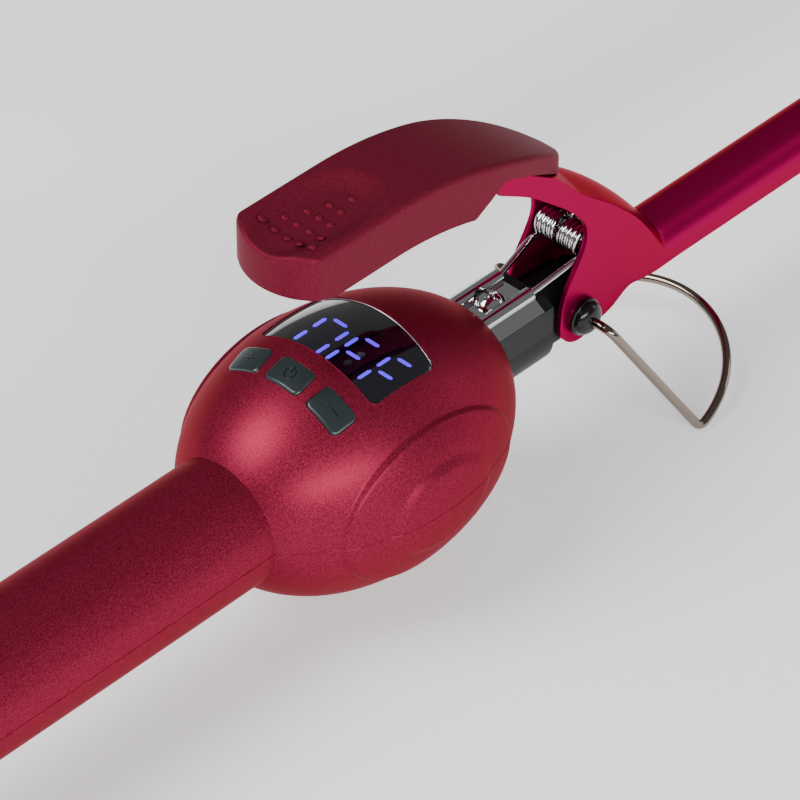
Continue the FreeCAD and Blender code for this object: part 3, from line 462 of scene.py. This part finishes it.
def crowned(outline, offset, depth, edge):
    # a pad under an outline: it follows the housing's surface, and its border is a quarter round
    centre = outline.mean(0)
    spread = np.linspace(0.02, 1, 16)
    rings = []
    distance = np.linalg.norm(outline - centre, axis=1)[:, None]
    for share in spread[:-1]:
        flat = centre + (outline - centre) * (1 - edge / distance) * share
        rings.append(np.column_stack([flat, ballHeight(flat[:, 0], flat[:, 1], offset)]))
    for angle in np.linspace(0, np.pi / 2, 6):
        flat = centre + (outline - centre) * (1 - edge * (1 - np.sin(angle)) / distance)
        rings.append(np.column_stack([flat, ballHeight(flat[:, 0], flat[:, 1], offset) - edge * (1 - np.cos(angle))]))
    foot = outline
    rings.append(np.column_stack([foot, ballHeight(foot[:, 0], foot[:, 1], offset) - depth]))
    rings.append(np.column_stack([centre + (foot - centre) * 0.02, np.full(len(foot), rings[-1][:, 2].mean())]))
    return closedGrid(np.stack(rings))


display = {"plane": 19.5, "top": 7.65, "cell": 4.95, "halfWidth": 2.85, "firstCentre": 7.6, "pitch": 8.1,
           "long": 1.75, "wide": 0.42, "towards": (-0.86, -0.83, 1.0)}
# which strokes are lit, by name: top, upper left, upper right, middle, lower left, lower right
characters = (("top", "upperLeft", "upperRight", "lowerLeft", "lowerRight"),
              ("top", "upperLeft", "middle", "lowerLeft"), ("top", "upperLeft", "middle", "lowerLeft"))


def onWindow(flat, lift):
    # carries points of the flat display up to the window along one direction
    direction = np.array(display["towards"])
    shift = np.full(len(flat), 5.0)
    for _ in range(12):
        x = flat[:, 0] + direction[0] * shift
        y = flat[:, 1] + direction[1] * shift
        shift = ballHeight(x, y, -window["sunk"] + lift) - display["plane"]
    return np.column_stack([x, y, display["plane"] + shift])


def stroke(x, y, lengthwise):
    # a flat bar with pointed ends, as a slab that follows the window
    long, wide = display["long"], display["wide"]
    u = np.linspace(-1, 1, 9)[:, None]
    v = np.linspace(-1, 1, 3)[None]
    half = wide * np.clip((1 - np.abs(u)) * long / wide, 0.12, 1)
    a, b = np.broadcast_arrays(u * long, v * half)
    flat = np.stack([x + a, y + b], -1) if lengthwise else np.stack([x + b, y + a], -1)
    flat = flat.reshape(-1, 2)
    return np.concatenate([onWindow(flat, 0.05), onWindow(flat, -0.1)]), slabFaces(9, 3)


def makeDisplay():
    points, faces = crowned(windowOutline, -window["sunk"], 1.4, 0.25)
    addPiece("displayWindow", points, faces, "window", "housing", ("display_lens",))
    # a thin steel ring just inside the window's border: a painted highlight standing in for the light caught on the
    # window's bevelled edge
    edge = np.concatenate([windowOutline, windowOutline[:2]]) * (0.992, 0.992)
    line = np.column_stack([edge, ballHeight(edge[:, 0], edge[:, 1], -window["sunk"] - 0.02)])
    points, faces = tube(line, 0.11, 8)
    addPiece("windowEdgeHighlight", points, faces, "steel", "housing")
    strokes = []
    top, cell, across = display["top"], display["cell"], display["halfWidth"]
    for place, lit in enumerate(characters):
        y = display["firstCentre"] - place * display["pitch"]
        spots = {"top": (top, y, False), "middle": (top - cell, y, False), "upperLeft": (top - cell / 2, y + across, True),
                 "upperRight": (top - cell / 2, y - across, True),
                 "lowerLeft": (top - cell * 1.5, y + across, True), "lowerRight": (top - cell * 1.5, y - across, True)}
        strokes += [stroke(*spots[name]) for name in lit]
    points, faces = joinMeshes(strokes)
    glow = Finish("litCharacters", (0.04, 0.03, 0.4), 0.4, **{"Emission Color": (0.10, 0.01, 1.0, 1),
                                                               "Emission Strength": 1.5}).material
    addPiece("litCharacters", points, faces, "window", "housing", material=glow)


keySigns = {"reach": 1.7, "width": 0.2, "lift": 0.03}


def signLine(points2d, angle):
    # a thin engraved line on a key: a path drawn on the key's top, then turned with the key
    path = np.asarray(points2d, float)
    height = ballHeight(path[:, 0], path[:, 1], key["proud"] - 0.09)
    points, faces = tube(np.column_stack([path, height]), keySigns["width"] * 0.75, 8)
    return turnedAboutBarrel(points, angle), faces


def makeKeys():
    middle = (key["rear"] + key["front"]) / 2
    reach = keySigns["reach"]
    acrossLine = np.column_stack([np.full(9, middle), np.linspace(-reach, reach, 9)])
    alongLine = np.column_stack([np.linspace(middle - reach * 0.75, middle + reach * 0.75, 9), np.zeros(9)])
    turn = np.radians(np.linspace(35, 325, 30))
    ringLine = np.column_stack([middle + 1.1 * np.cos(turn), 1.1 * np.sin(turn)])
    stemLine = np.column_stack([np.linspace(middle + 0.1, middle + 1.5, 6), np.zeros(6)])
    for name, side, lines in (("plus", -1, (acrossLine, alongLine)), ("power", 0, (ringLine, stemLine)),
                              ("minus", 1, (acrossLine,))):
        angle = side * key["pitch"]
        points, faces = crowned(keyOutline, key["proud"], 3.0, 0.45)
        body = name + "_key"
        addPiece(name + "KeyTop", turnedAboutBarrel(points, angle), faces, "keys", body, ("button_" + name,))
        points, faces = joinMeshes([signLine(line, angle) for line in lines])
        addPiece(name + "Sign", points, faces, "cap", body)


makeDisplay()
makeKeys()
print("display and keys made")


# ---- thumb lever

lever = {"top": 57.3, "flatEnd": 4, "arc": 80, "half": 10.2, "rear": -15.85, "bow": 14.6, "bowCentre": -5.4,
         "front": 56.1, "taper": 31.5, "edge": 1.1, "deep": 10.5, "thin": 3.7, "wall": 2.0,
         "dishCentre": -5.0, "dishLong": 14.5, "dishWide": 9.0, "dishDepth": 1.5}


def leverArc(x, depth):
    # the top line is level behind and an arc in front; the same line lowered by depth gives the others
    run = np.maximum(x - lever["flatEnd"], 0)
    return lever["top"] - lever["arc"] + np.sqrt((lever["arc"] - depth)**2 - run**2)


def leverBottom(x):
    deep = leverArc(x, lever["deep"])
    heel = deep + np.maximum(-11.8 - x, 0) * math.tan(math.radians(20))
    ramp = 43.6 + (x - 24.5) * math.tan(math.radians(29))
    stepped = np.where(x > 24.5, np.minimum(np.maximum(heel, ramp), leverArc(x, lever["thin"])), heel)
    return stepped


def leverDish(x, y):
    # an oval hollow for the thumb
    away = ((x - lever["dishCentre"]) / lever["dishLong"])**2 + (y / lever["dishWide"])**2
    return lever["dishDepth"] * smoothStep(1 - away, 0.0, 0.75)


def makeLever():
    edge = lever["edge"]
    turn = np.linspace(0, np.pi / 2, 7)
    rearRows = lever["rear"] + edge * (1 - np.cos(turn))
    frontRows = lever["front"] - edge * (1 - np.cos(turn[::-1]))
    taperRows = lever["front"] - lever["taper"] * (1 - np.sin(np.linspace(0.12, 1, 40)[:-1] * np.pi / 2))
    middleRows = np.concatenate([np.linspace(-14.6, -14.0, 2), np.linspace(-13.6, taperRows[0], 80)])
    x = np.unique(np.concatenate([rearRows, middleRows, taperRows, frontRows]))
    x = x[x <= lever["front"]]
    fromEnd = np.minimum(x - lever["rear"], lever["front"] - x)
    cutIn = edge - np.sqrt(np.maximum(edge**2 - np.maximum(edge - fromEnd, 0)**2, 0))
    narrow = np.sqrt(np.maximum(1 - (np.maximum(x - lever["front"] + lever["taper"], 0) / lever["taper"])**2, 0))
    half = np.minimum(lever["half"], (lever["half"] + 0.1) * narrow) - np.where(x < 0, cutIn, 0)
    half = np.maximum(half, 0.02)
    top = leverArc(x, 0) - cutIn
    bottom = leverBottom(x)
    corner = np.minimum(edge, half * 0.8)
    across = np.linspace(-1, 1, 49)
    quarter = np.linspace(0, np.pi / 2, 7)
    wallLevels = np.linspace(0, 1, 6)[:-1]
    # outside: up one side, round the corner, across the top, and down again
    outerY = np.concatenate([
        np.repeat(-half[:, None], len(wallLevels), 1),
        -half[:, None] + corner[:, None] * (1 - np.cos(quarter)),
        across[None, 1:-1] * (half - corner)[:, None],
        half[:, None] - corner[:, None] * (1 - np.cos(quarter[::-1])),
        np.repeat(half[:, None], len(wallLevels), 1)], 1)
    shoulder = top - corner
    outerZ = np.concatenate([
        bottom[:, None] + wallLevels * (shoulder - bottom)[:, None],
        shoulder[:, None] + corner[:, None] * np.sin(quarter),
        np.repeat(top[:, None], len(across) - 2, 1),
        shoulder[:, None] + corner[:, None] * np.sin(quarter[::-1]),
        bottom[:, None] + wallLevels[::-1] * (shoulder - bottom)[:, None]], 1)
    columns = outerY.shape[1]
    outerX = np.repeat(x[:, None], columns, 1)
    rounding = smoothStep(outerZ, shoulder[:, None], top[:, None])
    outerZ = outerZ - leverDish(outerX, outerY) * rounding
    # inside: the walls stand on the bottom edge, and the roof is the underside of the thin part
    inset = np.minimum(lever["wall"], half * 0.5)
    hollow = (x > lever["rear"] + lever["wall"])
    roof = np.where(hollow, np.maximum(leverArc(x, lever["thin"]), bottom), bottom)
    side = (half - inset)[:, None]
    edgeColumns = len(wallLevels)
    innerY = np.clip(outerY, -side, side)
    innerZ = np.repeat(roof[:, None], columns, 1)
    rise = np.linspace(0, 1, edgeColumns)
    innerZ[:, :edgeColumns] = bottom[:, None] + rise * (roof - bottom)[:, None]
    innerZ[:, -edgeColumns:] = bottom[:, None] + rise[::-1] * (roof - bottom)[:, None]
    innerX = outerX.copy()
    fade = 1 - smoothStep(outerX, lever["rear"], lever["rear"] + 16)
    for xs, ys in ((outerX, outerY), (innerX, innerY)):
        bowed = lever["bowCentre"] - np.sqrt(lever["bow"]**2 - np.clip(ys, -10.2, 10.2)**2)
        xs += (bowed - lever["rear"]) * fade
    points = np.concatenate([np.stack([outerX, outerY, outerZ], -1).reshape(-1, 3),
                             np.stack([innerX, innerY, innerZ], -1).reshape(-1, 3)])
    addPiece("thumbLever", points, slabFaces(len(x), columns), "lever", "clamp", ("thumb_lever",), 45)


bumps = {"radius": 0.85, "height": 0.62, "pitch": 4.15, "rows": 5, "startX": -13.6, "startY": 5.7}


def makeBumps():
    # low domes in a triangle: each is a cap of a sphere on the dish
    parts = []
    turn = np.linspace(0, 2 * np.pi, 20, endpoint=False)
    rise = np.linspace(0, np.pi / 2 - 0.02, 7)
    for row in range(bumps["rows"]):
        for step in range(bumps["rows"] - row):
            x = bumps["startX"] + step * 3.98
            y = bumps["startY"] - row * 3.1 - step * 1.62 + row * step * 0.12
            ring = bumps["radius"] * np.cos(rise)[:, None]
            level = bumps["height"] * np.sin(rise)[:, None]
            xs = x + ring * np.cos(turn)
            ys = y + ring * np.sin(turn)
            zs = leverArc(xs, 0) - leverDish(xs, ys) + level - 0.05
            parts.append(closedGrid(np.stack([xs, ys, zs], -1)))
    points, faces = joinMeshes(parts)
    addPiece("thumbBumps", points, faces, "lever", "clamp", sharp=70)


makeLever()
makeBumps()
print("lever made")


# ---- clamp pressing

clampSize = {"pivotX": 57.6, "pivotZ": 1.0, "ear": 7.2, "earRadius": 5.9, "sheet": 1.0, "bend": 56.2, "crestEnd": 82.6, "slope": 0.62, "spoonStart": 88,
             "spoonFront": 190, "spoonRadius": 6.3, "spoonLevel": 0.6, "edge": -1.6, "tongueRear": 3}


def hoodSection(x):
    # half width, crest height and side height of the pressing along its length
    radius, start, bend = clampSize["spoonRadius"], clampSize["spoonStart"], clampSize["bend"]
    spoonTop = clampSize["spoonLevel"] + radius
    bendTop = leverArc(bend, lever["thin"] + 0.05)
    share = np.clip((x - bend) / (clampSize["crestEnd"] - bend), 0, 1)
    fall = 1 - clampSize["slope"] * share - (1 - clampSize["slope"]) * share**2
    crest = np.where(x < bend, leverArc(np.minimum(x, bend), lever["thin"] + 0.05), spoonTop + fall * (bendTop - spoonTop))
    half = clampSize["ear"] - smoothStep(x, start - 20, start) * (clampSize["ear"] - radius)
    half = half - 0.6 * (1 - smoothStep(x, 28, 36))
    drop = 0.8 + 2.2 * smoothStep(x, bend - 8, bend + 6) + (radius - 3) * smoothStep(x, start - 16, start)
    return half, crest, crest - drop


def threePointArc(half, crest, side, share):
    # heights and sides along the arc over the crest, from one side to the other, share from -1 to 1
    drop = np.maximum(crest - side, 1e-3)
    radius = (half**2 + drop**2) / (2 * drop)
    sweep = np.arctan2(half, radius - drop)
    angle = share * sweep
    return radius * np.sin(angle), crest - radius + radius * np.cos(angle)


def clampEdge():
    # the free edge in side view: under the tongue, down the arch, round the ear and along to the spoon
    def spline(points, count):
        # a smooth curve through the points, each run a cubic whose slopes come from its neighbours
        points = np.asarray(points, float)
        slopes = np.gradient(points, axis=0)
        share = np.linspace(0, 1, count)[:, None]
        runs = []
        for a, b, sa, sb in zip(points[:-1], points[1:], slopes[:-1], slopes[1:]):
            runs.append((2 * share**3 - 3 * share**2 + 1) * a + (share**3 - 2 * share**2 + share) * sa
                        + (3 * share**2 - 2 * share**3) * b + (share**3 - share**2) * sb)
        return np.concatenate([run[:-1] for run in runs] + [points[-1:]])

    def onEar(degrees):
        angle = np.radians(degrees)
        return np.stack([clampSize["pivotX"] + clampSize["earRadius"] * np.cos(angle),
                         clampSize["pivotZ"] + clampSize["earRadius"] * np.sin(angle)], -1)

    arch = spline([(34, 42.4), (42, 37.6), (48, 32.8), (52.4, 29.0), (55.9, 25.4), (58.0, 22.4), (58.6, 19.4),
                   (58.1, 16.8), (56.8, 14.2), (55.0, 11.4), (53.2, 8.4), (52.1, 4.8), tuple(onEar(178))], 9)
    ear = onEar(np.linspace(178, 308, 34))[1:]
    front = spline([tuple(ear[-1]), (66.5, -2.6), (71.5, -0.4), (75.5, -0.9), (80, -1.6), (88, -1.6)], 8)[1:]
    return np.concatenate([arch, ear, front])


def makeClamp():
    edge = clampEdge()
    length = np.concatenate([[0], np.cumsum(np.linalg.norm(np.diff(edge, axis=0), axis=1))])
    share = length / length[-1]
    # each point of the edge is joined to a point of the ridge further along
    ridgeX = np.interp(share, [0, 0.16, 0.30, 0.42, 0.62, 0.72, 0.84, 1], [34, 50, 61.5, 65.5, 68.5, 72, 78.5, 88])
    tongueX = np.linspace(clampSize["tongueRear"], 34, 24)[:-1]
    spoonX = np.linspace(88, 183.7, 60)[1:]
    rowX = np.concatenate([tongueX, ridgeX, spoonX])
    half, crest, side = hoodSection(rowX)
    edgeX = np.concatenate([tongueX, edge[:, 0], spoonX])
    edgeZ = np.concatenate([side[:len(tongueX)] - 0.15, edge[:, 1], np.full(len(spoonX), clampSize["edge"])])
    edgeZ = np.minimum(edgeZ, side - 0.1)
    down = np.linspace(1, 0, 16)[:-1]
    wallX = rowX[:, None] + (edgeX - rowX)[:, None] * down
    wallZ = side[:, None] + (edgeZ - side)[:, None] * down
    wallY = np.repeat(half[:, None], len(down), 1)
    over = np.linspace(-1, 1, 41)
    arcY, arcZ = threePointArc(half[:, None], crest[:, None], side[:, None], over[None])
    arcX = np.repeat(rowX[:, None], len(over), 1)
    hood = np.stack([np.concatenate([wallX, arcX, wallX[:, ::-1]], 1),
                     np.concatenate([-wallY, arcY, wallY[:, ::-1]], 1),
                     np.concatenate([wallZ, arcZ, wallZ[:, ::-1]], 1)], -1)
    # the spoon's nose is round from above
    radius = clampSize["spoonRadius"]
    noseTurn = np.linspace(0, np.pi / 2, 16)[1:]
    noseX = 183.7 + radius * np.sin(noseTurn)
    reach = np.maximum(radius * np.cos(noseTurn), 0.01)
    wide = np.arcsin(np.clip(reach / radius, 0, 1))
    angle = np.linspace(-1, 1, hood.shape[1])[None] * wide[:, None]
    nose = np.stack([np.broadcast_to(noseX[:, None], angle.shape), radius * np.sin(angle),
                     clampSize["spoonLevel"] + radius * np.cos(angle)], -1)
    sheet = np.concatenate([hood, nose])
    rows, columns = sheet.shape[:2]
    points = sheet.reshape(-1, 3)
    item = addSheet("clampPressing", points, gridFaces(rows, columns), "lacquer", "clamp", clampSize["sheet"])
    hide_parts("clamp_spoon")


def addSheet(name, points, faces, slot, body, thickness):
    # an open surface given its metal thickness on the inside, with softened edges
    mesh = bpy.data.meshes.new(name)
    mesh.from_pydata((np.asarray(points) * 0.001 + (ballCentre, 0, 0)).tolist(), [], faces.tolist())
    mesh.shade_smooth()
    item = bpy.data.objects.new(name, mesh)
    bpy.context.scene.collection.objects.link(item)
    mesh.materials.append(finishes[slot])
    outward = mesh.polygons[len(mesh.polygons) // 2].normal.z
    if outward < 0:
        mesh.flip_normals()
    solid = item.modifiers.new("thickness", "SOLIDIFY")
    solid.thickness = thickness * 0.001
    solid.offset = -1
    solid.use_even_offset = False
    soft = item.modifiers.new("softEdge", "BEVEL")
    soft.width = 0.00018
    soft.segments = 2
    soft.limit_method = "ANGLE"
    soft.angle_limit = math.radians(50)
    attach(item, body)
    return item


makeClamp()
print("clamp made")


# ---- springs, screws and stand

spring = {"wire": 0.64, "coil": 2.6, "coilX": 60.3, "coilZ": 16.0, "legSide": 4.0, "legZ": 10.6, "legStart": 35,
          "legBend": 46.8, "pitch": 1.19, "turns": 4.25, "outer": 5.55}


def makeSpring():
    # leg, coil, bridge, coil, leg in one wire; each coil is a helix about the pivot's direction
    turn = np.linspace(0, 2 * np.pi * spring["turns"], 200)
    helix = np.column_stack([spring["coilX"] + spring["coil"] * np.sin(turn),
                             spring["outer"] - spring["pitch"] * turn / (2 * np.pi),
                             spring["coilZ"] - spring["coil"] * np.cos(turn)])
    leg = roundedPath([(spring["legStart"], spring["legSide"], spring["legZ"]),
                       (spring["legBend"], spring["legSide"], spring["legZ"]),
                       (spring["coilX"] - 3.0, spring["outer"] - 0.05, spring["coilZ"] - spring["coil"] - 0.1)], [2.0])
    last = helix[-1]
    bridge = roundedPath([last + (0, 0, 0.6), (spring["coilX"] + 3.6, 1.2, last[2] + 2.6), (65.5, 1.2, 20.3),
                          (65.5, 0, 20.3)], [1.2, 0.8])
    half = np.concatenate([leg, helix, bridge[1:]])
    mirrored = half[::-1][1:] * (1, -1, 1)
    points, faces = tube(np.concatenate([half, mirrored]), spring["wire"], 16)
    addPiece("returnSpring", points, faces, "chrome", "housing", ("torsion_spring",))


stand = {"wire": 0.95, "reach": 14.6, "radius": 23.3, "centre": (75.1, 0, -28.3), "tilt": 21.8, "run": 1.8,
         "elbow": 2.6, "corner": 1.8, "inner": 5.9}


def makeStand():
    # straight runs with rounded corners on each side, and an arc through the two feet and the nose between
    tilt = math.radians(stand["tilt"])
    forward = np.array([math.cos(tilt), 0, math.sin(tilt)])
    centre = np.array(stand["centre"])
    pivot = np.array([clampSize["pivotX"], 0, clampSize["pivotZ"]])
    side = np.array([0, 1.0, 0])
    foot = centre + side * stand["radius"] + forward * stand["run"]
    legs = roundedPath([pivot + side * stand["inner"], pivot + side * stand["reach"], centre + side * stand["radius"], foot],
                       [stand["elbow"], stand["corner"]], 0.8)
    sag = stand["radius"] - stand["run"]
    bowRadius = (stand["radius"]**2 + sag**2) / (2 * sag)
    sweep = math.atan2(stand["radius"], bowRadius - sag)
    turn = np.linspace(sweep, -sweep, 90)[1:-1, None]
    bowCentre = centre + forward * (stand["radius"] - bowRadius)
    bow = bowCentre + forward * bowRadius * np.cos(turn) + side * bowRadius * np.sin(turn)
    path = np.concatenate([legs, bow, legs[::-1] * (1, -1, 1)])
    points, faces = tube(path, stand["wire"], 20)
    addPiece("standWire", points, faces, "chrome", "stand", ("stand_wire",), material=finishes["wire"])


pivotCap = {"radius": 3.9, "height": 3.1, "seat": 7.55}


def makePivotCaps():
    # a domed head turned about the pivot's axis, with a rim step; the dimple where the wire comes out is left out
    cap = pivotCap
    rise = np.linspace(0, np.pi / 2, 20)
    r = np.concatenate([[0.01, cap["radius"] - 0.15, cap["radius"], cap["radius"]],
                        [cap["radius"] - 0.3], (cap["radius"] - 0.35) * np.cos(rise)**0.8, [1.5, 1.3, 0.02]])
    h = np.concatenate([[0, 0, 0.15, 0.8], [0.95], 1.0 + (cap["height"] - 1.0) * np.sin(rise), [cap["height"]] * 3])
    keep = np.concatenate([np.ones(len(r) - 3, bool), [False, False, True]])
    r, h = np.maximum(r[keep], 0.01), h[keep]
    turn = np.linspace(0, 2 * np.pi, 64, endpoint=False)
    parts = []
    for side in (-1, 1):
        x = clampSize["pivotX"] + r[:, None] * np.cos(turn)
        z = clampSize["pivotZ"] + r[:, None] * np.sin(turn)
        y = np.broadcast_to(side * (cap["seat"] + h)[:, None], x.shape)
        parts.append(closedGrid(np.stack([x, y, z], -1)))
    points, faces = joinMeshes(parts)
    addPiece("pivotCaps", points, faces, "cap", "housing", ("pivot_screws",))


makeSpring()
makeStand()
makePivotCaps()
print("springs, stand and caps made")


# ---- stage, light and camera

stage = {"floor": -0.0295, "size": 6.0}
floorMesh = bpy.data.meshes.new("floor")
half = stage["size"] / 2
corners = [(-half, -half, stage["floor"]), (half, -half, stage["floor"]), (half, half, stage["floor"]),
           (-half, half, stage["floor"])]
floorMesh.from_pydata(corners, [], [(0, 1, 2, 3)])
floor = bpy.data.objects.new("floor", floorMesh)
bpy.context.scene.collection.objects.link(floor)
paleFloor = Finish("paleFloor", (0.9, 0.9, 0.9), 0.9, **{"Emission Color": (1, 1, 1, 1), "Emission Strength": 0.45})
floorMesh.materials.append(paleFloor.material)

world = bpy.data.worlds.new("studio")
world.use_nodes = True
world.node_tree.nodes["Background"].inputs["Color"].default_value = (1, 1, 1, 1)
world.node_tree.nodes["Background"].inputs["Strength"].default_value = 0.2
bpy.context.scene.world = world


def softLight(name, towards, distance, width, height, power, colour=(1, 1, 1)):
    lamp = bpy.data.lights.new(name, "AREA")
    lamp.shape = "RECTANGLE"
    lamp.size = width
    lamp.size_y = height
    lamp.energy = power
    lamp.color = colour
    item = bpy.data.objects.new(name, lamp)
    aim = Vector((0.19, 0, 0))
    direction = Vector(towards).normalized()
    item.location = aim + direction * distance
    item.rotation_euler = (-direction).to_track_quat("-Z", "Y").to_euler()
    bpy.context.scene.collection.objects.link(item)


softLight("key", (-0.35, -0.85, 0.40), 1.3, 1.2, 0.2, 15)
softLight("above", (-0.75, 0.35, 1.0), 1.6, 1.0, 0.9, 27)
softLight("side", (1.0, -0.55, 0.35), 1.5, 0.5, 0.8, 2)

camera = bpy.data.cameras.new("camera")
camera.lens = 217.4
camera.sensor_width = 36
camera.clip_start = 0.05
camera.clip_end = 20
viewer = bpy.data.objects.new("camera", camera)
viewer.location = (-0.3131, -0.4792, 0.5788)
aim = Vector((0.1834, 0, 0.001))
viewer.rotation_euler = (aim - viewer.location).to_track_quat("-Z", "Y").to_euler()
bpy.context.scene.collection.objects.link(viewer)
bpy.context.scene.camera = viewer
print("stage, light and camera set")
